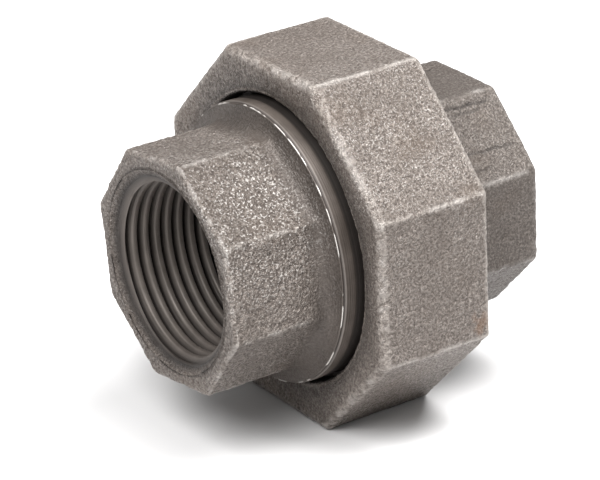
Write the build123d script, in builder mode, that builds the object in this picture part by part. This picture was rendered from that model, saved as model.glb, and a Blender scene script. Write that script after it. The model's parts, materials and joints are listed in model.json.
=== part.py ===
from build123d import *
import math
import os

os.makedirs("parts", exist_ok=True)

# Three-piece pipe union with a pressed-in seat ring, screwed together.
# The pipe axis is X, Z is up and the nut rests on one of its flats. Millimetres.
# The nut side is at -X and the thread side at +X, with the origin at mid-length on the axis.

# Overall
LENGTH = 50.0
X_LEFT = -LENGTH / 2
X_RIGHT = LENGTH / 2

# Female pipe thread at both ends, ISO 7-1 Rp 3/4 (parallel, 14 per inch, right hand)
# Its crests are flat and wide, and its grooves are 0.16 mm shallower than the standard's.
PIPE_PITCH = 25.4 / 14
PIPE_MINOR_R = 24.117 / 2
PIPE_CREST_FLAT = 0.66
PIPE_DEPTH = 1.0
MOUTH_R = 14.4
MOUTH_DEPTH = 1.6
PIPE_THREAD_END = 16.1
RECESS_R = 13.3
RECESS_END = 18.1
THROAT_START = 19.6
WATERWAY_R = 11.2

# Union thread between the nut and the thread side, 60 degree form, right hand
UNION_PITCH = 2.0
UNION_FLANK = math.tan(math.radians(30.0))
MALE_CREST_R = 22.2
MALE_PITCH_R = 21.6
MALE_ROOT_R = 21.1
FEMALE_CREST_R = 21.45
FEMALE_PITCH_R = 21.85
FEMALE_ROOT_R = 22.5

# Nut
NUT_FLATS = 50.0
NUT_X0 = -7.7
NUT_LENGTH = 17.6
NUT_X1 = NUT_X0 + NUT_LENGTH
LIP_R = 20.1
LIP_THICK = 3.5
LIP_ROUND = 0.9
LIP_FACE_X = NUT_X0 + LIP_THICK
NUT_RELIEF_R = 22.6
NUT_THREAD_X0 = -0.9

# Nut side (tail piece that the nut's lip holds)
TAIL_FLATS = 32.0
TAIL_TURN = -6.9
TAIL_ROOT_ROUND = 3.6
TAIL_ROOT_R = TAIL_FLATS / 2 - 0.4
RIM_X = -10.3
BAND_X = -9.8
BAND_R = 19.6
RUNNING_GAP = 0.03
SHOULDER_X0 = LIP_FACE_X + RUNNING_GAP
SHOULDER_X1 = -1.45
SHOULDER_R = 21.15
NOSE_X = 2.4

# Ground seat: a ball nose on the nut side against a 45 degree cone in the seat ring
SEAT_X0 = -1.0
SEAT_X1 = 4.0
SEAT_OUTER_R = 18.2
SEAT_BORE_R = 12.6
SEAT_CONTACT_X = 0.6
SEAT_CONTACT_R = 15.2
SEAT_GAP = 0.04
BALL_R = SEAT_CONTACT_R * math.sqrt(2)
BALL_X = SEAT_CONTACT_X - SEAT_CONTACT_R - SEAT_GAP

# Thread side
BODY_FLATS = 32.0
MALE_END_X = 9.2
MALE_RUNOUT_X = 10.6
MALE_RUNOUT_R = 20.4
BODY_ROOT_ROUND = 3.4
BODY_ROOT_R = BODY_FLATS / 2 - 0.4

# Rounding of the cast edges
CAST_EDGE = 1.0
NUT_EDGE = 1.1
END_EDGE = 1.2


def ball_radius_at(x):
    """Radius of the ball nose at a station along the axis."""
    return math.sqrt(BALL_R**2 - (x - BALL_X) ** 2)


# Half-sections of the thread grooves, as (along the axis, outward from the crest radius).
# The flanks run on past the crest by OVERCUT and then go straight, so a groove breaks out cleanly.
OVERCUT = 0.1
PIPE_FLANK = math.tan(math.radians(27.5))
PIPE_TOP = (PIPE_PITCH - PIPE_CREST_FLAT) / 2 + OVERCUT * PIPE_FLANK
PIPE_BOTTOM = (PIPE_PITCH - PIPE_CREST_FLAT) / 2 - PIPE_DEPTH * PIPE_FLANK
PIPE_GROOVE = (
    (-PIPE_TOP, -0.4),
    (PIPE_TOP, -0.4),
    (PIPE_TOP, -OVERCUT),
    (PIPE_BOTTOM, PIPE_DEPTH),
    (-PIPE_BOTTOM, PIPE_DEPTH),
    (-PIPE_TOP, -OVERCUT),
)
PIPE_HELIX_LENGTH = 18.1
PIPE_HELIX_LEAD = 1.2

FEMALE_TOP = UNION_PITCH / 4 + (FEMALE_PITCH_R - FEMALE_CREST_R + OVERCUT) * UNION_FLANK
FEMALE_BOTTOM = UNION_PITCH / 4 - (FEMALE_ROOT_R - FEMALE_PITCH_R) * UNION_FLANK
MALE_TOP = UNION_PITCH / 4 + (MALE_CREST_R - MALE_PITCH_R + OVERCUT) * UNION_FLANK
MALE_BOTTOM = UNION_PITCH / 4 - (MALE_PITCH_R - MALE_ROOT_R) * UNION_FLANK
MALE_HELIX_X = -3.0
MALE_HELIX_LENGTH = 15.0
FEMALE_HELIX_X = MALE_HELIX_X + UNION_PITCH / 2
FEMALE_HELIX_LENGTH = 14.0


# Nut side: octagonal wrench end, collar with a turned band, shoulder and ball nose
with BuildPart() as nut_side_end:
    with BuildSketch(Plane.YZ.offset(X_LEFT)):
        RegularPolygon(TAIL_FLATS / 2, 8, major_radius=False, rotation=22.5 + TAIL_TURN)
    extrude(amount=RIM_X - X_LEFT)
    fillet(nut_side_end.edges().filter_by(Axis.X), CAST_EDGE)
    fillet(nut_side_end.faces().sort_by(Axis.X)[0].edges(), END_EDGE)
    with BuildSketch(Plane.XZ):
        with BuildLine():
            Polyline(
                (NOSE_X, ball_radius_at(NOSE_X)),
                (NOSE_X, 0.0),
                (RIM_X - TAIL_ROOT_ROUND, 0.0),
                (RIM_X - TAIL_ROOT_ROUND, TAIL_ROOT_R),
            )
            RadiusArc(
                (RIM_X - TAIL_ROOT_ROUND, TAIL_ROOT_R),
                (RIM_X, TAIL_ROOT_R + TAIL_ROOT_ROUND),
                -TAIL_ROOT_ROUND,
            )
            Polyline(
                (RIM_X, TAIL_ROOT_R + TAIL_ROOT_ROUND),
                (BAND_X, BAND_R),
                (SHOULDER_X0, BAND_R),
                (SHOULDER_X0, SHOULDER_R),
                (SHOULDER_X1 - 0.4, SHOULDER_R),
                (SHOULDER_X1, SHOULDER_R - 0.4),
                (SHOULDER_X1, ball_radius_at(SHOULDER_X1)),
            )
            RadiusArc(
                (SHOULDER_X1, ball_radius_at(SHOULDER_X1)),
                (NOSE_X, ball_radius_at(NOSE_X)),
                BALL_R,
            )
        make_face()
    revolve(axis=Axis.X)
    with BuildSketch(Plane.XZ):
        Polygon(
            (X_LEFT, 0.0),
            (X_LEFT, MOUTH_R),
            (X_LEFT + MOUTH_DEPTH, PIPE_MINOR_R),
            (X_LEFT + RECESS_END, PIPE_MINOR_R),
            (X_LEFT + THROAT_START, WATERWAY_R),
            (NOSE_X, WATERWAY_R),
            (NOSE_X, 0.0),
            align=None,
        )
    revolve(axis=Axis.X, mode=Mode.SUBTRACT)
    with BuildLine() as tail_helix:
        Helix(
            PIPE_PITCH,
            PIPE_HELIX_LENGTH,
            PIPE_MINOR_R,
            center=(X_LEFT - PIPE_HELIX_LEAD, 0, 0),
            direction=(1, 0, 0),
        )
    with BuildSketch(
        Plane(
            origin=(X_LEFT - PIPE_HELIX_LEAD, 0, PIPE_MINOR_R),
            x_dir=(1, 0, 0),
            z_dir=(0, -1, 0),
        )
    ):
        Polygon(*PIPE_GROOVE, align=None)
    sweep(path=tail_helix.line, is_frenet=True, mode=Mode.SUBTRACT)
    with BuildSketch(Plane.XZ):
        Polygon(
            (X_LEFT + PIPE_THREAD_END, 0.0),
            (X_LEFT + PIPE_THREAD_END, RECESS_R),
            (X_LEFT + RECESS_END, RECESS_R),
            (X_LEFT + THROAT_START, WATERWAY_R),
            (X_LEFT + THROAT_START, 0.0),
            align=None,
        )
    revolve(axis=Axis.X, mode=Mode.SUBTRACT)

# Union nut: octagonal ring with an inward lip at the front and the union thread behind it
with BuildPart() as union_nut:
    with BuildSketch(Plane.YZ.offset(NUT_X0)):
        RegularPolygon(NUT_FLATS / 2, 8, major_radius=False, rotation=22.5)
    extrude(amount=NUT_LENGTH)
    fillet(union_nut.edges().filter_by(Axis.X), NUT_EDGE)
    fillet(union_nut.faces().sort_by(Axis.X)[0].edges(), NUT_EDGE)
    fillet(union_nut.faces().sort_by(Axis.X)[-1].edges(), NUT_EDGE)
    with BuildSketch(Plane.XZ):
        Polygon(
            (NUT_X0, 0.0),
            (NUT_X0, LIP_R),
            (LIP_FACE_X, LIP_R),
            (LIP_FACE_X, NUT_RELIEF_R),
            (NUT_THREAD_X0, NUT_RELIEF_R),
            (NUT_THREAD_X0, FEMALE_CREST_R),
            (NUT_X1 - 1.3, FEMALE_CREST_R),
            (NUT_X1, FEMALE_CREST_R + 1.3),
            (NUT_X1, 0.0),
            align=None,
        )
    revolve(axis=Axis.X, mode=Mode.SUBTRACT)
    fillet(union_nut.faces().sort_by(Axis.X)[0].inner_wires()[0].edges(), LIP_ROUND)
    with BuildLine() as female_helix:
        Helix(
            UNION_PITCH,
            FEMALE_HELIX_LENGTH,
            FEMALE_CREST_R,
            center=(FEMALE_HELIX_X, 0, 0),
            direction=(1, 0, 0),
        )
    with BuildSketch(
        Plane(
            origin=(FEMALE_HELIX_X, 0, FEMALE_CREST_R),
            x_dir=(1, 0, 0),
            z_dir=(0, -1, 0),
        )
    ):
        Polygon(
            (-FEMALE_TOP, -0.4),
            (FEMALE_TOP, -0.4),
            (FEMALE_TOP, -OVERCUT),
            (FEMALE_BOTTOM, FEMALE_ROOT_R - FEMALE_CREST_R),
            (-FEMALE_BOTTOM, FEMALE_ROOT_R - FEMALE_CREST_R),
            (-FEMALE_TOP, -OVERCUT),
            align=None,
        )
    sweep(path=female_helix.line, is_frenet=True, mode=Mode.SUBTRACT)

# Seat ring: bronze ring pressed into the thread side, with the conical seat
with BuildPart() as seat_ring:
    with BuildSketch(Plane.XZ):
        Polygon(
            (SEAT_X0, SEAT_OUTER_R),
            (SEAT_X0, SEAT_CONTACT_R + SEAT_CONTACT_X - SEAT_X0),
            (SEAT_CONTACT_X + SEAT_CONTACT_R - SEAT_BORE_R, SEAT_BORE_R),
            (SEAT_X1, SEAT_BORE_R),
            (SEAT_X1, SEAT_OUTER_R),
            align=None,
        )
    revolve(axis=Axis.X)

# Thread side: male union thread, counterbore for the seat ring and octagonal wrench end
with BuildPart() as thread_side_end:
    with BuildSketch(Plane.YZ.offset(X_RIGHT)):
        RegularPolygon(BODY_FLATS / 2, 8, major_radius=False, rotation=22.5)
    extrude(amount=-(X_RIGHT - MALE_RUNOUT_X))
    fillet(thread_side_end.edges().filter_by(Axis.X), CAST_EDGE)
    fillet(thread_side_end.faces().sort_by(Axis.X)[-1].edges(), END_EDGE)
    with BuildSketch(Plane.XZ):
        with BuildLine():
            Polyline(
                (SEAT_X0, 0.0),
                (SEAT_X0, MALE_CREST_R - 1.2),
                (SEAT_X0 + 1.2, MALE_CREST_R),
                (MALE_END_X, MALE_CREST_R),
                (MALE_RUNOUT_X, MALE_RUNOUT_R),
                (MALE_RUNOUT_X, BODY_ROOT_R + BODY_ROOT_ROUND),
            )
            RadiusArc(
                (MALE_RUNOUT_X, BODY_ROOT_R + BODY_ROOT_ROUND),
                (MALE_RUNOUT_X + BODY_ROOT_ROUND, BODY_ROOT_R),
                -BODY_ROOT_ROUND,
            )
            Polyline(
                (MALE_RUNOUT_X + BODY_ROOT_ROUND, BODY_ROOT_R),
                (MALE_RUNOUT_X + BODY_ROOT_ROUND, 0.0),
                (SEAT_X0, 0.0),
            )
        make_face()
    revolve(axis=Axis.X)
    with BuildSketch(Plane.XZ):
        Polygon(
            (SEAT_X0, 0.0),
            (SEAT_X0, SEAT_OUTER_R),
            (SEAT_X1, SEAT_OUTER_R),
            (SEAT_X1, WATERWAY_R),
            (X_RIGHT - THROAT_START, WATERWAY_R),
            (X_RIGHT - RECESS_END, PIPE_MINOR_R),
            (X_RIGHT - MOUTH_DEPTH, PIPE_MINOR_R),
            (X_RIGHT, MOUTH_R),
            (X_RIGHT, 0.0),
            align=None,
        )
    revolve(axis=Axis.X, mode=Mode.SUBTRACT)
    with BuildLine() as body_helix:
        Helix(
            PIPE_PITCH,
            PIPE_HELIX_LENGTH,
            PIPE_MINOR_R,
            center=(X_RIGHT + PIPE_HELIX_LEAD, 0, 0),
            direction=(-1, 0, 0),
        )
    with BuildSketch(
        Plane(
            origin=(X_RIGHT + PIPE_HELIX_LEAD, 0, -PIPE_MINOR_R),
            x_dir=(1, 0, 0),
            z_dir=(0, 1, 0),
        )
    ):
        Polygon(*PIPE_GROOVE, align=None)
    sweep(path=body_helix.line, is_frenet=True, mode=Mode.SUBTRACT)
    with BuildSketch(Plane.XZ):
        Polygon(
            (X_RIGHT - THROAT_START, 0.0),
            (X_RIGHT - THROAT_START, WATERWAY_R),
            (X_RIGHT - RECESS_END, RECESS_R),
            (X_RIGHT - PIPE_THREAD_END, RECESS_R),
            (X_RIGHT - PIPE_THREAD_END, 0.0),
            align=None,
        )
    revolve(axis=Axis.X, mode=Mode.SUBTRACT)
    with BuildLine() as male_helix:
        Helix(
            UNION_PITCH,
            MALE_HELIX_LENGTH,
            MALE_CREST_R,
            center=(MALE_HELIX_X, 0, 0),
            direction=(1, 0, 0),
        )
    with BuildSketch(
        Plane(
            origin=(MALE_HELIX_X, 0, MALE_CREST_R),
            x_dir=(1, 0, 0),
            z_dir=(0, -1, 0),
        )
    ):
        Polygon(
            (-MALE_TOP, 0.4),
            (MALE_TOP, 0.4),
            (MALE_TOP, OVERCUT),
            (MALE_BOTTOM, MALE_ROOT_R - MALE_CREST_R),
            (-MALE_BOTTOM, MALE_ROOT_R - MALE_CREST_R),
            (-MALE_TOP, OVERCUT),
            align=None,
        )
    sweep(path=male_helix.line, is_frenet=True, mode=Mode.SUBTRACT)

nut_side_end.part.label = "nut_side_end"
export_step(nut_side_end.part, "parts/nut_side_end.step")
union_nut.part.label = "union_nut"
export_step(union_nut.part, "parts/union_nut.step")
seat_ring.part.label = "seat_ring"
export_step(seat_ring.part, "parts/seat_ring.step")
thread_side_end.part.label = "thread_side_end"
export_step(thread_side_end.part, "parts/thread_side_end.step")
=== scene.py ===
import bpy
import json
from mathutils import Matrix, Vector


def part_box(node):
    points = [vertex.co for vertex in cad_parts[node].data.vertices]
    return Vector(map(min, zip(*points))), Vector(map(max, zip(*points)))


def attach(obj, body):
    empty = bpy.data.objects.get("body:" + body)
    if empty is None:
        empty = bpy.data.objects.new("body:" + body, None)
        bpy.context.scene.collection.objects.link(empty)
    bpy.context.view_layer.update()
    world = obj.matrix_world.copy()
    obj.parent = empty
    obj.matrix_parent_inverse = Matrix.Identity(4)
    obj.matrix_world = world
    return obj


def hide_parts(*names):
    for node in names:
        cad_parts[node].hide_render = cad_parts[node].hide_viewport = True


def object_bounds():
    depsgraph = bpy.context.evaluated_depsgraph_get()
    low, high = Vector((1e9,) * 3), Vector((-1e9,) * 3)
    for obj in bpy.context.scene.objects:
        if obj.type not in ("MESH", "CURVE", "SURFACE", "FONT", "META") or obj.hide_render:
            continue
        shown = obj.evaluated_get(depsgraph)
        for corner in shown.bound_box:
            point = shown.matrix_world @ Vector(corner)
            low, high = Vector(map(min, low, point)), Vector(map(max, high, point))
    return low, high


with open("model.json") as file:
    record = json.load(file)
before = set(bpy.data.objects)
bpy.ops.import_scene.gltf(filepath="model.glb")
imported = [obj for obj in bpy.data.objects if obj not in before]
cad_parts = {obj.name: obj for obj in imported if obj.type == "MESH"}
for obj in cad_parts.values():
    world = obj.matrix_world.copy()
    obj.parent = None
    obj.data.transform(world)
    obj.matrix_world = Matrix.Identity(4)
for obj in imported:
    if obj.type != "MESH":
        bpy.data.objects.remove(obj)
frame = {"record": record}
cad_box = [list(corner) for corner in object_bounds()]

import json
import math
from functools import partial

import bpy
import numpy as np
from mathutils import Matrix, Vector
from mathutils.kdtree import KDTree

# Shapes are worked out in millimetres and angles run from +Z towards -Y, the way a
# right-hand thread turns as it advances along +X. Meshes are made in metres.
MM = 0.001
TURN = 2 * math.pi
EIGHTH = math.radians(45)


def span(node):
    """The node's lowest and highest X, in millimetres."""
    low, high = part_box(node)
    return low.x / MM, high.x / MM


TAIL_X0, NOSE_X = span("nut_side_end")
NUT_X0, NUT_X1 = span("union_nut")
SEAT_X0, SEAT_X1 = span("seat_ring")
BODY_X0, BODY_X1 = span("thread_side_end")
NUT_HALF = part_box("union_nut")[1].z / MM
MALE_CREST_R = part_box("thread_side_end")[1].z / MM
SHOULDER_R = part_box("nut_side_end")[1].z / MM
SEAT_OUTER_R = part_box("seat_ring")[1].z / MM
PIPE_CREST_R = frame["record"]["mounts"][0]["dims"]["r_mm"]
PIPE_LENGTH = frame["record"]["mounts"][0]["dims"]["length_mm"]

PIPE_PITCH = 25.4 / 14
PIPE_DEPTH = 1.0
PIPE_CREST_FLAT = 0.66
PIPE_LEAD = 1.2
MOUTH_R = 14.4
MOUTH_DEPTH = 1.6
RECESS_R = 13.3
WATERWAY_R = 11.2
# The throat starts at THROAT_AT from an end's face. The other two are measured back from it.
THROAT_AT = 19.6
THROAT_TAPER = 1.5
RECESS_BACK = 3.5
UNION_PITCH = 2.0
MALE_GROOVE_X = -3.0
FEMALE_GROOVE_X = MALE_GROOVE_X + UNION_PITCH / 2
# How far the mouth's cone is set in from the end's face, where the cast edge rolls over.
MOUTH_SET_IN = 0.14


# ---------------------------------------------------------------- noise and profiles
tables = {}


def noise(points, size, seed):
    """Smooth noise from about -1 to 1 with features of that size."""
    if seed not in tables:
        tables[seed] = np.random.default_rng(seed).uniform(-1, 1, (64, 64, 64))
    table = tables[seed]
    tilt = np.array(((0.80, 0.36, -0.48), (-0.60, 0.48, -0.64), (0.0, 0.80, 0.60)))
    q = np.asarray(points, float) @ tilt / size + 31.7 + 5.3 * seed
    cell = np.floor(q).astype(int)
    f = q - cell
    f = f * f * f * (f * (f * 6 - 15) + 10)
    total = 0.0
    for dx in (0, 1):
        for dy in (0, 1):
            for dz in (0, 1):
                weight = (
                    (f[:, 0] if dx else 1 - f[:, 0])
                    * (f[:, 1] if dy else 1 - f[:, 1])
                    * (f[:, 2] if dz else 1 - f[:, 2])
                )
                corner = (cell + (dx, dy, dz)) & 63
                total = total + weight * table[corner[:, 0], corner[:, 1], corner[:, 2]]
    return total * 1.6


def smooth_min(a, b, width):
    h = np.maximum(width - np.abs(a - b), 0) / width
    return np.minimum(a, b) - h * h * width / 4


def smooth_max(a, b, width):
    return -smooth_min(-a, -b, width)


def ease(value, low, high):
    """0 below low, 1 above high and smooth between them."""
    t = np.clip((value - low) / (high - low), 0, 1)
    return t * t * (3 - 2 * t)


def inset(distance, radius):
    """How far an edge of that radius pulls the outline in, at a distance from the end."""
    d = np.clip(distance, 0, radius)
    return radius - np.sqrt(np.maximum(radius**2 - (radius - d) ** 2, 0))


def octagon(x, phi, half, turn, corner, wobble, seed):
    """Radius of a cast octagon whose flats are a little uneven, so its edges wander."""
    x = np.broadcast_to(x, phi.shape)
    around = (phi - turn) / EIGHTH
    index = np.round(around)
    off = (around - index) * EIGHTH
    side = np.where(off >= 0, 1, -1)
    radii = []
    for number, angle in ((index, off), (index + side, off - side * EIGHTH)):
        across = half * np.tan(angle)
        spot = np.stack((x, across, 41.0 * (number % 8)), 1)
        dent = wobble * (0.5 + 0.34 * noise(spot, 5.5, seed) + 0.24 * noise(spot, 1.9, seed + 1))
        radii.append((half - np.clip(dent, 0, 2 * wobble)) / np.cos(angle))
    return smooth_min(radii[0], radii[1], corner)


# ---------------------------------------------------------------- ring-built skins
def between(inner, outline, share, phi):
    """Radius part of the way from a circle to an outline."""
    return inner + share * (outline(phi) - inner)


def edge_shine(x, turn, half, n, amount, seed):
    """Brighter metal along the corners of an octagon: handled wear and a painted highlight."""
    phi = TURN * np.arange(n) / n
    around = (phi - turn) / EIGHTH - 0.5
    off = (around - np.round(around)) * EIGHTH * half
    spots = np.stack((np.full(n, float(x)), half * np.sin(phi), half * np.cos(phi)), 1)
    patch = ease(noise(spots, 1.6, seed) + 0.6 * noise(spots, 6.0, seed + 1), -0.5, 0.6)
    return amount * np.exp(-((off / 0.32) ** 2)) * patch


def worn(x, amount, seed, n, half):
    """Patchy brighter metal on a rounded end edge."""
    phi = TURN * np.arange(n) / n
    spots = np.stack((np.full(n, float(x)), half * np.sin(phi), half * np.cos(phi)), 1)
    return amount * ease(noise(spots, 1.2, seed), -0.2, 0.6)


class Skin:
    """A closed surface made of rings of points round the X axis, joined in order."""

    def __init__(self):
        self.x, self.r, self.phi = [], [], []
        self.tags = {"cast": [], "grime": [], "bare": []}
        self.quads, self.tris = [], []
        self.count = 0
        self.first = self.last = None

    def add(self, x, r, phi, cast, grime, bare):
        n = len(phi)
        for store, value in ((self.x, x), (self.r, r), (self.phi, phi)):
            store.append(np.broadcast_to(value, n).astype(float))
        for name, value in (("cast", cast), ("grime", grime), ("bare", bare)):
            self.tags[name].append(np.broadcast_to(value, n).astype(float))
        index = np.arange(self.count, self.count + n)
        self.count += n
        return index

    def join(self, a, b):
        if len(a) == len(b):
            self.quads.append(np.stack((a, b, np.roll(b, -1), np.roll(a, -1)), 1))
            return
        i = j = 0
        while i < len(a) or j < len(b):
            if j >= len(b) or (i < len(a) and (i + 1) * len(b) <= (j + 1) * len(a)):
                self.tris.append((a[i % len(a)], b[j % len(b)], a[(i + 1) % len(a)]))
                i += 1
            else:
                self.tris.append((a[i % len(a)], b[j % len(b)], b[(j + 1) % len(b)]))
                j += 1

    def ring(self, x, r, n, cast=0.0, grime=0.0, bare=0.0):
        """x and r are numbers or functions of the ring's angles."""
        phi = TURN * np.arange(n) / n
        x = x(phi) if callable(x) else x
        r = r(phi) if callable(r) else r
        index = self.add(x, r, phi, cast, grime, bare)
        if self.last is None:
            self.first = index
        else:
            self.join(self.last, index)
        self.last = index

    def rings(self, stations, n, **tags):
        for x, r in stations:
            self.ring(x, r, n, **tags)

    def thread(self, x0, x1, pitch, groove_x, knees, limit, n, backwards, grime, mouth_r=99.0):
        """Rows that follow a right-hand thread between x0 and x1.

        knees are (distance along the pitch from the groove's middle, radius) and limit
        turns (x, radius) into the radius left by the mouth's cone or chamfer. Points
        beyond mouth_r are the mouth's cast cone.
        """
        turns_before = math.ceil((groove_x + pitch - x0) / pitch) + 1
        turns = math.ceil((x1 - x0) / pitch) + 4
        starts = groove_x + pitch * (np.arange(turns) - turns_before)
        u = (starts[:, None] + np.array([k[0] for k in knees])[None, :]).ravel()
        radius = np.tile([k[1] for k in knees], turns)
        phi = TURN * np.arange(n) / n
        x = u[:, None] + pitch * phi[None, :] / TURN
        snap = 0.03

        def radius_at(place):
            phase = (place - pitch * phi / TURN - groove_x) % pitch
            along = np.array([k[0] for k in knees] + [knees[0][0] + pitch])
            height = np.array([k[1] for k in knees] + [knees[0][1]])
            phase = np.where(phase < along[0], phase + pitch, phase)
            return limit(place, np.interp(phase, along, height))

        def cast_at(r):
            return 0.9 * ease(r, mouth_r, mouth_r + 0.35)

        low = self.add(x0, radius_at(x0), phi, cast_at(radius_at(x0)), 0.0, 0.0)
        high = self.add(x1, radius_at(x1), phi, cast_at(radius_at(x1)), 0.0, 0.0)
        inside = (x > x0 + snap) & (x < x1 - snap)
        index = np.where(x <= x0 + snap, low[None, :], high[None, :])
        rows, columns = np.nonzero(inside)
        knee_r = limit(x[inside], radius[rows])
        depth = np.abs(knee_r - knees[0][1]) / max(abs(k[1] - knees[0][1]) for k in knees)
        depth = np.clip(depth, 0, 1)
        cast = cast_at(knee_r)
        bare = 0.05 * depth * (1 - cast)
        # Thread roots are darkened: partly oily grime, partly a painted shade.
        new = self.add(x[inside], knee_r, phi[columns], cast, grime * (1 - depth), bare)
        index[inside] = new
        per_turn = len(knees)
        a, b = index[:-1, :-1], index[1:, :-1]
        c, d = index[1:, 1:], index[:-1, 1:]
        quads = [np.stack((a.ravel(), b.ravel(), c.ravel(), d.ravel()), 1)]
        a, b = index[: -per_turn - 1, -1], index[1:-per_turn, -1]
        c, d = index[per_turn + 1 :, 0], index[per_turn:-1, 0]
        quads.append(np.stack((a, b, c, d), 1))
        for quad in np.concatenate(quads):
            kept = list(dict.fromkeys(quad.tolist()))
            if len(kept) == 4:
                self.quads.append(np.array([kept]))
            elif len(kept) == 3:
                self.tris.append(tuple(kept))
        if backwards:
            self.join(self.last, high)
            self.last = low
        else:
            self.join(self.last, low)
            self.last = high

    def close(self):
        self.join(self.last, self.first)
        x, r, phi = (np.concatenate(v) for v in (self.x, self.r, self.phi))
        points = np.stack((x, -r * np.sin(phi), r * np.cos(phi)), 1)
        tags = {name: np.concatenate(v) for name, v in self.tags.items()}
        return points, np.concatenate(self.quads), np.array(self.tris, int), tags


def point_normals(points, quads, tris):
    """Normals at the points, turned outward by the sign of the enclosed volume."""
    corners = (quads[:, (0, 1, 2)], quads[:, (0, 2, 3)], tris.reshape(-1, 3))
    faces = np.concatenate(corners)
    a, b, c = (points[faces[:, k]] for k in range(3))
    across = np.cross(b - a, c - a)
    outward = 1.0 if np.sum(a * across) > 0 else -1.0
    normals = np.zeros_like(points)
    for k in range(3):
        np.add.at(normals, faces[:, k], across)
    normals /= np.maximum(np.linalg.norm(normals, axis=1), 1e-12)[:, None]
    return normals * outward, outward


def neighbours_mean(points, edges, values):
    total = np.zeros((len(points),) + values.shape[1:])
    number = np.bincount(edges.ravel(), minlength=len(points)).astype(float)
    np.add.at(total, edges[:, 0], values[edges[:, 1]])
    np.add.at(total, edges[:, 1], values[edges[:, 0]])
    number = np.maximum(number, 1)
    return total / (number[:, None] if values.ndim > 1 else number)


def dents(points, where, number, smallest, largest, depth, seed):
    """Round pits (positive depth) scattered over the points that where marks."""
    rng = np.random.default_rng(seed)
    tree = KDTree(len(points))
    for i, p in enumerate(points):
        tree.insert(p, i)
    tree.balance()
    places = np.nonzero(where)[0]
    out = np.zeros(len(points))
    for place in rng.choice(places, number):
        radius = rng.uniform(smallest, largest)
        bottom = depth * rng.uniform(0.4, 1.0) * radius / largest
        for _, i, distance in tree.find_range(points[place], radius):
            out[i] = max(out[i], bottom * (1 - (distance / radius) ** 2) ** 2)
    return out


def cast_piece(name, skin, material, seed, pits=0, grain=1.0, rust=None):
    """Roughens the cast parts of a skin, inward only, and makes it a Blender object."""
    points, quads, tris, tags = skin.close()
    normals, outward = point_normals(points, quads, tris)
    cast = tags["cast"]
    rough = np.nonzero(cast > 0.01)[0]
    p = points[rough]
    sink = np.zeros(len(points))
    sink[rough] = grain * (
        0.022 * (1 + noise(p, 7.0, seed))
        + 0.014 * (1 + noise(p, 2.2, seed + 1))
        + 0.020 * (1 + noise(p, 0.95, seed + 2))
        + 0.036 * (1 + noise(p, 0.48, seed + 3))
    )
    if pits:
        sink += dents(points, cast > 0.85, pits, 0.35, 1.1, 0.22, seed + 4)
    sink *= cast
    ends = points[:, 0].min(), points[:, 0].max()
    points = points - normals * np.maximum(sink, 0)[:, None]
    points[:, 0] = np.clip(points[:, 0], *ends)

    mesh = bpy.data.meshes.new(name)
    if outward < 0:
        quads, tris = quads[:, ::-1], tris[:, ::-1]
    mesh.from_pydata((points * MM).tolist(), [], quads.tolist() + tris.tolist())
    mesh.validate()
    mesh.polygons.foreach_set("use_smooth", np.ones(len(mesh.polygons), bool))
    mesh.set_sharp_from_angle(angle=math.radians(38))
    edges = np.zeros(len(mesh.edges) * 2, int)
    mesh.edges.foreach_get("vertices", edges)
    edges = edges.reshape(-1, 2)
    sharp = mesh.attributes.get("sharp_edge")
    if sharp:
        flags = np.zeros(len(edges), bool)
        sharp.data.foreach_get("value", flags)
        flags &= (cast[edges] < 0.3).all(1)
        sharp.data.foreach_set("value", flags)

    normals, _ = point_normals(points, quads, tris)
    # How far each point stands above its neighbours; the material paints raised grains lighter, as bare
    # metal, and hollows darker, a painted shade.
    mean = neighbours_mean(points, edges, points)
    raised = np.einsum("ij,ij->i", points - mean, normals) / 0.03
    for _ in range(2):
        raised = 0.5 * raised + 0.5 * neighbours_mean(points, edges, raised)
    tags["raised"] = np.clip(0.5 + 0.5 * raised, 0, 1) * cast + 0.5 * (1 - cast)
    tags["rust"] = rust(points) if rust else np.zeros(len(points))
    phi = np.arctan2(-points[:, 1], points[:, 2])
    # Painted glints, strongest on the upper flat at 45 degrees that faces the lights, weaker on the other
    # flats.
    flats = 0.22 + 0.78 * np.maximum(np.cos(phi - EIGHTH), 0) ** 10 + 0.08 * np.cos(5 * phi + seed)
    tags["glint_grit"] = np.clip(flats * (1 + 0.2 * noise(points, 4.5, seed + 5)), 0.05, 1)
    for tag, values in tags.items():
        attribute = mesh.attributes.new(tag, "FLOAT", "POINT")
        attribute.data.foreach_set("value", values.astype(np.float32))
    mesh.materials.append(material)
    piece = bpy.data.objects.new(name, mesh)
    bpy.context.scene.collection.objects.link(piece)
    return piece


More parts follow.
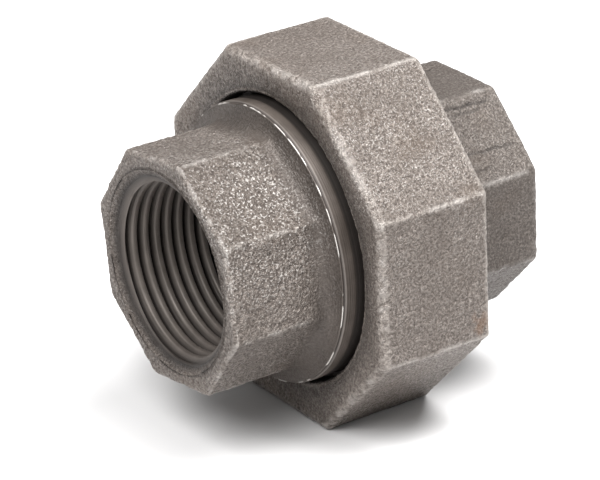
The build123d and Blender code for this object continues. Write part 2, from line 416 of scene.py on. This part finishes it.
# ---------------------------------------------------------------- materials
class Nodes:
    """Short calls for building a material's node tree."""

    def __init__(self, name):
        self.material = bpy.data.materials.new(name)
        self.material.use_nodes = True
        self.tree = self.material.node_tree
        self.shader = self.tree.nodes["Principled BSDF"]

    def put(self, kind, inputs=None, **settings):
        node = self.tree.nodes.new(kind)
        for key, value in settings.items():
            setattr(node, key, value)
        for key, value in (inputs or {}).items():
            self.feed(node.inputs[key], value)
        return node

    def feed(self, socket, value):
        if isinstance(value, bpy.types.NodeSocket):
            self.tree.links.new(value, socket)
        else:
            socket.default_value = value

    def tag(self, name):
        return self.put("ShaderNodeAttribute", attribute_name=name).outputs["Fac"]

    def noise(self, scale, detail=2.0, roughness=0.5, vector=None):
        inputs = {"Scale": scale, "Detail": detail, "Roughness": roughness}
        inputs["Vector"] = vector or self.place()
        return self.put("ShaderNodeTexNoise", inputs).outputs["Fac"]

    def place(self):
        if not hasattr(self, "coordinates"):
            self.coordinates = self.put("ShaderNodeTexCoord")
        return self.coordinates.outputs["Object"]

    def math(self, operation, a, b=0.0, clamp=False):
        node = self.put("ShaderNodeMath", {0: a, 1: b}, operation=operation, use_clamp=clamp)
        return node.outputs[0]

    def remap(self, value, low, high, to_low=0.0, to_high=1.0):
        inputs = {"Value": value, "From Min": low, "From Max": high, "To Min": to_low, "To Max": to_high}
        return self.put("ShaderNodeMapRange", inputs, clamp=True).outputs["Result"]

    def mix(self, factor, a, b):
        node = self.put("ShaderNodeMix", data_type="RGBA")
        self.feed(node.inputs["Factor"], factor)
        self.feed(node.inputs[6], a)
        self.feed(node.inputs[7], b)
        return node.outputs[2]

    def turning_marks(self, scale):
        """Noise that goes round the X axis like the marks of a lathe tool."""
        axes = self.put("ShaderNodeSeparateXYZ", {"Vector": self.place()})
        across = self.math("POWER", axes.outputs["Y"], 2.0)
        up = self.math("POWER", axes.outputs["Z"], 2.0)
        away = self.math("SQRT", self.math("ADD", across, up))
        lathe = self.put("ShaderNodeCombineXYZ", {"X": axes.outputs["X"], "Y": away})
        return self.noise(scale, 1.0, 0.5, lathe.outputs["Vector"])

    def ramp(self, value, stops):
        node = self.put("ShaderNodeValToRGB", {"Fac": value})
        points = node.color_ramp.elements
        while len(points) < len(stops):
            points.new(0.5)
        for point, (position, colour) in zip(points, stops):
            point.position = position
            point.color = (*colour[:3], 1.0)
        return node.outputs["Color"]


def black_iron(name, shade, sparkle, glint_grit, depth):
    """Raw malleable iron: sandy cast skin, with duller turned and threaded parts."""
    m = Nodes(name)

    def tone(red, green, blue):
        return (1.04 * shade * red, 0.99 * shade * green, 0.945 * shade * blue, 1.0)

    cast, raised = m.tag("cast"), m.tag("raised")
    grains = m.noise(2900, 3.0, 0.62)
    specks = m.noise(glint_grit, 2.0, 0.6)
    blotches = m.noise(190, 4.0, 0.6)
    stains = m.noise(85, 3.0, 0.55)

    stops = [
        (0.34, tone(0.062, 0.051, 0.045)),
        (0.50, tone(0.122, 0.106, 0.096)),
        (0.64, tone(0.235, 0.212, 0.196)),
    ]
    skin = m.ramp(grains, stops)
    # Painted glints: sparse bright specks, strongest on the upper 45 degree flat that faces the lights.
    painted_glints = m.math("MULTIPLY", m.remap(specks, 0.55, 0.65, 0.0, sparkle), m.tag("glint_grit"))
    skin = m.mix(painted_glints, skin, (0.60, 0.57, 0.54, 1))
    skin = m.mix(m.remap(blotches, 0.42, 0.66, 0.0, 0.38), skin, tone(0.078, 0.063, 0.053))
    skin = m.mix(m.remap(stains, 0.56, 0.70, 0.0, 0.22), skin, tone(0.120, 0.085, 0.058))
    # Raised grains are painted lighter, as bare metal, and pits and hollows darker, a painted shade.
    skin = m.mix(m.remap(raised, 0.55, 0.95, 0.0, 0.60), skin, tone(0.42, 0.40, 0.38))
    skin = m.mix(m.remap(raised, 0.45, 0.1, 0.0, 0.6), skin, tone(0.034, 0.027, 0.023))
    turned = m.ramp(blotches, [(0.35, tone(0.068, 0.057, 0.050)), (0.65, tone(0.118, 0.102, 0.092))])
    colour = m.mix(cast, turned, skin)
    # Near black in thread roots, seams, gaps between parts, bores and hollows: partly oily grime, partly a
    # painted shade.
    colour = m.mix(m.tag("grime"), colour, (0.018, 0.014, 0.012, 1))
    colour = m.mix(m.tag("rust"), colour, (0.19, 0.095, 0.045, 1))
    # Bright metal on the lathe burr, worn edges, crests and the ball nose, and a painted highlight along
    # the octagon corners.
    colour = m.mix(m.tag("bare"), colour, (0.60, 0.57, 0.54, 1))
    m.feed(m.shader.inputs["Base Color"], colour)
    m.shader.inputs["Metallic"].default_value = 0.45
    m.shader.inputs["Specular IOR Level"].default_value = 0.6

    dull = m.remap(grains, 0.35, 0.65, 0.58, 0.30)
    smooth = m.remap(blotches, 0.3, 0.7, 0.50, 0.62)
    mixed = m.put("ShaderNodeMix", data_type="FLOAT")
    m.feed(mixed.inputs["Factor"], cast)
    m.feed(mixed.inputs[2], smooth)
    m.feed(mixed.inputs[3], dull)
    m.feed(m.shader.inputs["Roughness"], mixed.outputs[0])

    height = m.math("ADD", m.math("MULTIPLY", grains, 1.0), m.math("MULTIPLY", specks, 0.5))
    height = m.math("MULTIPLY", height, cast)
    height = m.math("ADD", height, m.math("MULTIPLY", m.turning_marks(5200), 0.12))
    bump = m.put("ShaderNodeBump", {"Strength": 1.0, "Distance": depth, "Height": height})
    m.feed(m.shader.inputs["Normal"], bump.outputs["Normal"])
    return m.material


def bronze():
    """Turned and ground seat bronze, a little tarnished."""
    m = Nodes("seat_bronze_turned")
    blotches = m.noise(220, 4.0, 0.6)
    specks = m.noise(3000, 2.0, 0.5)
    colour = m.ramp(blotches, [(0.3, (0.36, 0.21, 0.085)), (0.7, (0.62, 0.40, 0.17))])
    colour = m.mix(m.remap(specks, 0.60, 0.75, 0.0, 0.5), colour, (0.20, 0.12, 0.06, 1))
    m.feed(m.shader.inputs["Base Color"], colour)
    m.shader.inputs["Metallic"].default_value = 0.9
    m.feed(m.shader.inputs["Roughness"], m.remap(blotches, 0.3, 0.7, 0.24, 0.40))
    marks = m.turning_marks(6500)
    bump = m.put("ShaderNodeBump", {"Strength": 0.5, "Distance": 0.00005, "Height": marks})
    m.feed(m.shader.inputs["Normal"], bump.outputs["Normal"])
    return m.material


tail_iron = black_iron("black_iron_nut_side", 0.86, 1.0, 3100, 0.00052)
nut_iron = black_iron("black_iron_nut", 0.92, 0.60, 4400, 0.00036)
body_iron = black_iron("black_iron_thread_side", 0.66, 0.25, 4600, 0.00030)
seat_bronze = bronze()

# ---------------------------------------------------------------- shared shapes
flank = math.tan(math.radians(27.5))
half_flat = PIPE_CREST_FLAT / 2
half_top = (PIPE_PITCH - PIPE_CREST_FLAT) / 2
half_root = half_top - PIPE_DEPTH * flank
root_r = PIPE_CREST_R + PIPE_DEPTH
# From the middle of a groove: root, flank, crest, flank.
PIPE_KNEES = [
    (0.0, root_r),
    (half_root, root_r),
    (half_root + 0.33 * (half_top - half_root), root_r - 0.33 * PIPE_DEPTH),
    (half_root + 0.67 * (half_top - half_root), root_r - 0.67 * PIPE_DEPTH),
    (half_top - 0.03, PIPE_CREST_R + 0.05),
    (half_top + 0.05, PIPE_CREST_R),
    (half_top + half_flat, PIPE_CREST_R),
    (PIPE_PITCH - half_top - 0.05, PIPE_CREST_R),
    (PIPE_PITCH - half_top + 0.03, PIPE_CREST_R + 0.05),
    (PIPE_PITCH - half_root - 0.67 * (half_top - half_root), root_r - 0.67 * PIPE_DEPTH),
    (PIPE_PITCH - half_root - 0.33 * (half_top - half_root), root_r - 0.33 * PIPE_DEPTH),
    (PIPE_PITCH - half_root, root_r),
]


def union_knees(root, crest, pitch_r):
    """Knees of the 60 degree union thread, from the middle of a groove."""
    slope = math.tan(math.radians(30))
    bottom = UNION_PITCH / 4 - abs(root - pitch_r) * slope
    top = UNION_PITCH / 4 + abs(crest - pitch_r) * slope
    middle = (bottom + top) / 2
    return [
        (0.0, root),
        (bottom, root),
        (middle, (root + crest) / 2),
        (top, crest),
        (UNION_PITCH / 2, crest),
        (UNION_PITCH - top, crest),
        (UNION_PITCH - middle, (root + crest) / 2),
        (UNION_PITCH - bottom, root),
    ]


def pipe_mouth(skin, face_x, inward, groove_x, n):
    """The female pipe thread and its mouth. inward is +1 at the -X end and -1 at the other."""
    start = face_x + inward * MOUTH_SET_IN
    thread_end = face_x + inward * (MOUTH_DEPTH + PIPE_LENGTH)

    def limit(x, r):
        cone = MOUTH_R - (x - face_x) * inward * (MOUTH_R - PIPE_CREST_R) / MOUTH_DEPTH
        return np.maximum(r, cone)

    low, high = min(start, thread_end), max(start, thread_end)
    skin.thread(low, high, PIPE_PITCH, groove_x, PIPE_KNEES, limit, n, inward > 0, 1.0, root_r - 0.1)


# ---------------------------------------------------------------- nut side
TAIL_HALF = 16.0
TAIL_TURN = math.radians(-6.9)
TAIL_ROOT = 3.6
RIM_X = -9.95
BAND_R = 19.6
SHOULDER_X0 = -4.17
SHOULDER_X1 = -1.45
BALL_R = 15.2 * math.sqrt(2)
BALL_X = -14.64
END_ROUND = 0.7


def tail_outline(x):
    def radius(phi):
        half = TAIL_HALF - inset(x - TAIL_X0, END_ROUND)
        return octagon(x, phi, half, TAIL_TURN, 0.30, 0.08, 11)
    return radius


def tail_root(x):
    """Radius of the concave cast root between the octagon and the rim."""
    start = RIM_X - TAIL_ROOT
    lathe = TAIL_HALF - 0.4 + TAIL_ROOT - np.sqrt(np.maximum(TAIL_ROOT**2 - (x - start) ** 2, 0))
    return lambda phi: smooth_max(tail_outline(x)(phi), lathe, 0.9)


tail = Skin()
N_OUT = 600
N_IN = 288
# The end face is painted a little darker, a painted shade.
for t in np.linspace(0.0, 1.0, 9)[:-1]:
    face = partial(between, MOUTH_R - 0.15, tail_outline(TAIL_X0), t)
    tail.ring(TAIL_X0 + 0.02 + 0.10 * (1 - t) ** 3, face, N_OUT, cast=1.0, grime=0.12)
for angle in np.linspace(0.0, math.pi / 2, 8)[:-1]:
    x = TAIL_X0 + END_ROUND * (1 - math.cos(angle))
    wear_and_highlight = worn(x, 0.25 * math.sin(angle), 17, N_OUT, TAIL_HALF)
    tail.ring(x + 0.02, tail_outline(x), N_OUT, cast=1.0, bare=wear_and_highlight)
for x in np.arange(TAIL_X0 + END_ROUND, RIM_X - TAIL_ROOT, 0.21):
    wear_and_highlight = edge_shine(x, TAIL_TURN, TAIL_HALF, N_OUT, 0.24, 15)
    tail.ring(x, tail_outline(x), N_OUT, cast=1.0, bare=wear_and_highlight)
# The concave root towards the rim is painted darker as it turns in, a painted shade.
for angle in np.linspace(0.03, 1.0, 20):
    x = RIM_X - TAIL_ROOT * (1 - math.sin(angle * math.pi / 2))
    cast = 1.0 - 0.65 * ease(angle, 0.05, 0.5)
    tail.ring(x, tail_root(x), N_OUT, cast=cast, grime=0.34 * ease(angle, 0.0, 0.5))


def burr_share(phi):
    """How much of a burr the lathe tool left at each angle of the rim, 0 to 1."""
    spots = np.stack((20 * np.cos(phi), 20 * np.sin(phi), 0 * phi), 1)
    return ease(noise(spots, 1.1, 21) + 0.9 * noise(spots, 4.5, 22), -0.05, 0.50)


burr = burr_share(TURN * np.arange(N_OUT) / N_OUT)
# The rim's turned edge and burr; the rings just past the burr are painted dark, a painted shade in the
# small groove.
tail.ring(RIM_X, BAND_R - 0.34, N_OUT, cast=0.3, grime=0.35)
tail.ring(RIM_X + 0.01, lambda phi: BAND_R - 0.26 + 0.09 * burr_share(phi), N_OUT, bare=0.9 * burr)
tail.ring(RIM_X + 0.09, lambda phi: BAND_R - 0.22 + 0.09 * burr_share(phi), N_OUT, bare=0.9 * burr)
tail.ring(RIM_X + 0.15, BAND_R - 0.24, N_OUT, grime=0.75)
tail.ring(RIM_X + 0.32, BAND_R - 0.22, N_OUT, grime=0.65)
tail.ring(RIM_X + 0.46, BAND_R - 0.04, N_IN, bare=0.10)
# The band darkens towards and under the nut's lip, a painted shade of the gap between the parts.
for x in np.arange(RIM_X + 0.58, NUT_X0 + 1.2, 0.11):
    step = 0.05 * ease(x, NUT_X0 - 0.35, NUT_X0 - 0.15)
    painted_gap_shade = 0.95 * ease(x, NUT_X0 - 0.40, NUT_X0 + 0.10)
    tail.ring(x, BAND_R - step - 0.010 * (1 + math.sin(x * 23.0)), N_IN, grime=painted_gap_shade)


def ball(x):
    return math.sqrt(BALL_R**2 - (x - BALL_X) ** 2)


# Inside the nut these are painted dark, a painted shade.
tail.rings([(NUT_X0 + 1.4, BAND_R), (SHOULDER_X0, BAND_R)], N_IN, grime=0.9)
tail.rings([(SHOULDER_X0, SHOULDER_R), (SHOULDER_X1 - 0.4, SHOULDER_R)], N_IN, grime=0.3)
tail.rings([(SHOULDER_X1, SHOULDER_R - 0.4), (SHOULDER_X1, ball(SHOULDER_X1))], N_IN)
tail.rings([(x, ball(x)) for x in np.linspace(SHOULDER_X1, NOSE_X, 14)[1:]], N_IN, bare=0.25)
throat = TAIL_X0 + THROAT_AT
waterway = [(NOSE_X, WATERWAY_R), (throat, WATERWAY_R), (throat - THROAT_TAPER, RECESS_R)]
# The bore is painted darker, a painted shade, deepest in the recess.
tail.rings(waterway, N_IN, grime=0.3)
tail.ring(throat - RECESS_BACK, RECESS_R, N_IN, grime=0.5)
pipe_mouth(tail, TAIL_X0, 1, TAIL_X0 - PIPE_LEAD, N_IN)
nut_side = cast_piece("nut_side_iron", tail, tail_iron, 31, pits=60, grain=1.25)
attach(nut_side, "nut_side")
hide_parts("nut_side_end")

# ---------------------------------------------------------------- union nut
FRONT_ROUND = 1.2
BACK_ROUND = 0.8
LIP_R = 20.1
LIP_ROUND = 0.55
LIP_FACE_X = NUT_X0 + 3.5
RELIEF_R = 22.6
FEMALE_X0 = -0.9
FEMALE_CREST_R = 21.45
FEMALE_PITCH_R = 21.85
FEMALE_ROOT_R = 22.5
N_NUT = 720


def nut_outline(x):
    def radius(phi):
        half = NUT_HALF - inset(x - NUT_X0, FRONT_ROUND) - inset(NUT_X1 - x, BACK_ROUND)
        return octagon(x, phi, half, 0.0, 0.22, 0.10, 51)
    return radius


nut = Skin()
# The lip's rounded edge, then the face, which leans in a little towards the hole. Both are painted darker
# towards the hole, a painted shade.
for angle in np.linspace(math.pi / 2, 0.0, 7):
    x = NUT_X0 + 0.45 + LIP_ROUND * (1 - math.cos(angle))
    r = LIP_R + LIP_ROUND * (1 - math.sin(angle))
    nut.ring(x, r, N_NUT, cast=0.5 + 0.5 * math.cos(angle), grime=0.85 * math.sin(angle))
for t in np.linspace(0.0, 1.0, 16)[1:-1]:
    face = partial(between, LIP_R + LIP_ROUND, nut_outline(NUT_X0), t)
    nut.ring(NUT_X0 + 0.03 + 0.42 * (1 - t) ** 1.5, face, N_NUT, cast=1.0, grime=0.60 * (1 - t) ** 1.6)
for angle in np.linspace(0.0, math.pi / 2, 9)[:-1]:
    x = NUT_X0 + FRONT_ROUND * (1 - math.cos(angle))
    wear_and_highlight = worn(x, 0.18 * math.sin(2 * angle), 57, N_NUT, NUT_HALF)
    nut.ring(x + 0.03, nut_outline(x), N_NUT, cast=1.0, bare=wear_and_highlight)
for x in np.arange(NUT_X0 + FRONT_ROUND + 0.1, NUT_X1 - BACK_ROUND, 0.22):
    nut.ring(x, nut_outline(x), N_NUT, cast=1.0, bare=edge_shine(x, 0.0, NUT_HALF, N_NUT, 0.26, 55))
for angle in np.linspace(0.0, math.pi / 2, 6)[1:]:
    x = NUT_X1 - BACK_ROUND * (1 - math.sin(angle))
    nut.ring(x - 0.03, nut_outline(x), N_NUT, cast=1.0)
for t in (0.75, 0.5, 0.25, 0.0):
    face = partial(between, FEMALE_CREST_R + 1.3, nut_outline(NUT_X1), t)
    nut.ring(NUT_X1 - 0.03, face, N_NUT, cast=0.8)


def nut_chamfer(x, r):
    return np.maximum(r, FEMALE_CREST_R + (x - NUT_X1 + 1.3))


female_knees = union_knees(FEMALE_ROOT_R, FEMALE_CREST_R, FEMALE_PITCH_R)
thread_end = NUT_X1 - 0.04
nut.thread(FEMALE_X0, thread_end, UNION_PITCH, FEMALE_GROOVE_X, female_knees, nut_chamfer, N_IN, True, 0.6)
# The relief, lip face and lip bore are painted dark, a painted shade inside the nut.
nut.rings([(FEMALE_X0, RELIEF_R), (LIP_FACE_X, RELIEF_R), (LIP_FACE_X, LIP_R)], N_IN, grime=0.4)
nut.rings([(NUT_X0 + 2.6, LIP_R), (NUT_X0 + 1.6, LIP_R)], N_IN, grime=0.9)


# Rust spots: place along X, angle, reach and strength.
RUST_SPOTS = (
    (5.2, 46.5, 0.8, 0.8),
    (8.2, 109.0, 1.8, 0.35),
    (-5.0, 200.0, 1.6, 0.5),
)
RUST_R = 25.6


def nut_rust(points):
    """A small spot on the upper flat, a patch by a lower rear corner and one underneath."""
    total = np.zeros(len(points))
    for x, degrees, reach, amount in RUST_SPOTS:
        angle = math.radians(degrees)
        middle = np.array((x, -RUST_R * math.sin(angle), RUST_R * math.cos(angle)))
        away = np.linalg.norm(points - middle, axis=1) / reach
        total = np.maximum(total, amount * (1 - ease(away + 0.3 * noise(points, 0.6, 63), 0.4, 1.1)))
    return total


union_nut = cast_piece("union_nut_iron", nut, nut_iron, 61, pits=90, rust=nut_rust)
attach(union_nut, "nut")
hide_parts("union_nut")

# ---------------------------------------------------------------- seat ring
CONTACT_X = 0.6
CONTACT_R = 15.2
SEAT_BORE_R = 12.6
cone_end = CONTACT_X + CONTACT_R - SEAT_BORE_R
seat = Skin()
cone_top = CONTACT_R + CONTACT_X - SEAT_X0
seat.rings([(SEAT_X0, SEAT_OUTER_R), (SEAT_X0, cone_top + 0.7), (SEAT_X0, cone_top)], N_IN)
seat.rings([(x, CONTACT_R + CONTACT_X - x) for x in np.linspace(SEAT_X0, cone_end, 12)[1:]], N_IN)
seat.rings([(SEAT_X1, SEAT_BORE_R), (SEAT_X1, SEAT_OUTER_R)], N_IN)
seat_piece = cast_piece("seat_ring_bronze", seat, seat_bronze, 71)
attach(seat_piece, "thread_side")
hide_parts("seat_ring")

# ---------------------------------------------------------------- thread side
BODY_HALF = 16.0
BODY_ROOT = 3.4
RUNOUT_X = 10.6
RUNOUT_R = 20.4
MALE_END_X = 9.2
MALE_PITCH_R = 21.6
MALE_ROOT_R = 21.1
BODY_ROUND = 0.8
N_BODY = 600
N_MALE = 400


# Casting seams and scratches along the octagon: angle, drift, start, end and depth.
SEAMS = (
    (27.5, 0.10, 11.5, 23.6, 0.11),
    (31.0, -0.05, 15.0, 22.0, 0.07),
    (52.0, 0.06, 13.5, 24.0, 0.09),
    (60.5, -0.08, 12.5, 19.5, 0.06),
    (-14.0, 0.04, 12.0, 23.0, 0.07),
    (152.0, 0.05, 13.0, 24.0, 0.08),
    (238.0, -0.06, 12.5, 22.5, 0.08),
)


def seam_depth(x, phi):
    """Depth of the seams at each angle, in millimetres."""
    degrees = np.degrees(phi)
    depth = np.zeros(len(phi))
    for middle, drift, start, end, deep in SEAMS:
        wander = middle + drift * (x - 18.0) + 0.35 * math.sin(1.7 * x + middle)
        off = (degrees - wander + 180) % 360 - 180
        length = ease(x, start, start + 1.5) * (1 - ease(x, end - 1.5, end))
        depth = np.maximum(depth, deep * length * np.exp(-((off / 0.75) ** 2)))
    return depth


def body_outline(x):
    def radius(phi):
        half = BODY_HALF - inset(BODY_X1 - x, BODY_ROUND)
        return octagon(x, phi, half, 0.0, 0.35, 0.09, 81) - seam_depth(x, phi)
    return radius


# The seams' grooves are painted darker: partly dirt, partly a painted shade.
def seam_dirt_and_shade(x):
    return np.clip(6.0 * seam_depth(x, TURN * np.arange(N_BODY) / N_BODY), 0, 0.8)


def body_root(x):
    finish = RUNOUT_X + BODY_ROOT
    lathe = BODY_HALF - 0.4 + BODY_ROOT - np.sqrt(np.maximum(BODY_ROOT**2 - (finish - x) ** 2, 0))
    return lambda phi: smooth_max(body_outline(x)(phi), lathe, 0.9)


def male_limit(x, r):
    chamfer = MALE_CREST_R - 1.2 + (x - BODY_X0)
    fall = (MALE_CREST_R - RUNOUT_R) / (RUNOUT_X - MALE_END_X)
    runout = MALE_CREST_R - np.maximum(x - MALE_END_X, 0) * fall
    return np.minimum(np.minimum(r, chamfer), runout)


body = Skin()
body.rings([(BODY_X0, SEAT_OUTER_R), (BODY_X0, 19.6)], N_IN)
male_knees = union_knees(MALE_ROOT_R, MALE_CREST_R, MALE_PITCH_R)
body.thread(BODY_X0, RUNOUT_X, UNION_PITCH, MALE_GROOVE_X, male_knees, male_limit, N_MALE, False, 0.5)
# The concave root from the thread runout is painted darker towards the runout, a painted shade.
for angle in np.linspace(1.0, 0.03, 16):
    x = RUNOUT_X + BODY_ROOT * (1 - math.sin(angle * math.pi / 2))
    cast = 0.9 - 0.45 * ease(angle, 0.1, 0.6)
    body.ring(x, body_root(x), N_BODY, cast=cast, grime=0.3 * ease(angle, 0.0, 0.5))
for x in np.arange(RUNOUT_X + BODY_ROOT + 0.1, BODY_X1 - BODY_ROUND, 0.23):
    wear_and_highlight = edge_shine(x, 0.0, BODY_HALF, N_BODY, 0.22, 85)
    body.ring(x, body_outline(x), N_BODY, cast=0.9, bare=wear_and_highlight, grime=seam_dirt_and_shade(x))
for angle in np.linspace(0.0, math.pi / 2, 8)[1:]:
    x = BODY_X1 - BODY_ROUND * (1 - math.sin(angle))
    body.ring(x - 0.02, body_outline(x), N_BODY, cast=0.9)
for t in np.linspace(1.0, 0.0, 7)[1:]:
    face = partial(between, MOUTH_R - 0.15, body_outline(BODY_X1), t)
    body.ring(BODY_X1 - 0.02 - 0.10 * (1 - t) ** 3, face, N_BODY, cast=0.9)
pipe_mouth(body, BODY_X1, -1, BODY_X1 + PIPE_LEAD + PIPE_PITCH / 2, N_IN)
throat = BODY_X1 - THROAT_AT
recess = [(throat + RECESS_BACK, RECESS_R), (throat + THROAT_TAPER, RECESS_R), (throat, WATERWAY_R)]
# The bore is painted darker, a painted shade.
body.rings(recess, N_IN, grime=0.4)
body.rings([(SEAT_X1, WATERWAY_R), (SEAT_X1, SEAT_OUTER_R)], N_IN)
thread_side = cast_piece("thread_side_iron", body, body_iron, 91, pits=50, grain=0.8)
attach(thread_side, "thread_side")
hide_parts("thread_side_end")

# ---------------------------------------------------------------- camera
scene = bpy.context.scene
AZIMUTH = math.radians(-33.269)
ELEVATION = math.radians(23.961)
ROLL = math.radians(-2.5565)
DISTANCE = 0.4475
TARGET = Vector((-0.00345, 0.0, -0.00134))
flat = math.cos(ELEVATION)
back = Vector((math.sin(AZIMUTH) * flat, -math.cos(AZIMUTH) * flat, math.sin(ELEVATION)))
right = (-back).cross(Vector((0, 0, 1))).normalized()
up = right.cross(-back)
level = (right, up)
right = math.cos(ROLL) * level[0] + math.sin(ROLL) * level[1]
up = -math.sin(ROLL) * level[0] + math.cos(ROLL) * level[1]
camera_data = bpy.data.cameras.new("camera")
camera_data.lens = 198.8
camera_data.sensor_width = 36.0
camera_data.clip_start = 0.01
camera = bpy.data.objects.new("camera", camera_data)
facing = Matrix((right, up, back)).transposed().to_4x4()
camera.matrix_world = Matrix.Translation(TARGET + back * DISTANCE) @ facing
scene.collection.objects.link(camera)
scene.camera = camera

# ---------------------------------------------------------------- floor and light
floor_mesh = bpy.data.meshes.new("floor")
FLOOR_REACH = 3.0
floor_z = cad_box[0][2]
corners = [(x * FLOOR_REACH, y * FLOOR_REACH, floor_z) for x, y in ((-1, -1), (1, -1), (1, 1), (-1, 1))]
floor_mesh.from_pydata(corners, [], [(0, 1, 2, 3)])
floor = bpy.data.objects.new("floor", floor_mesh)
scene.collection.objects.link(floor)
pale = Nodes("floor_pale")
pale.shader.inputs["Base Color"].default_value = (0.60, 0.595, 0.595, 1)
pale.shader.inputs["Roughness"].default_value = 0.7
floor_mesh.materials.append(pale.material)

world = bpy.data.worlds.new("studio")
world.use_nodes = True
world.node_tree.nodes["Background"].inputs["Color"].default_value = (1, 1, 1, 1)
world.node_tree.nodes["Background"].inputs["Strength"].default_value = 0.42
scene.world = world


def area_light(name, place, width, height, power):
    data = bpy.data.lights.new(name, "AREA")
    data.shape = "RECTANGLE"
    data.size = width
    data.size_y = height
    data.energy = power
    light = bpy.data.objects.new(name, data)
    light.location = place
    light.rotation_euler = (-Vector(place)).to_track_quat("-Z", "Y").to_euler()
    scene.collection.objects.link(light)


area_light("key", (0.19, -0.22, 0.70), 0.40, 0.40, 12.5)
area_light("left", (-0.40, -0.18, 0.58), 0.46, 0.46, 8.5)
scene.view_settings.view_transform = "Standard"
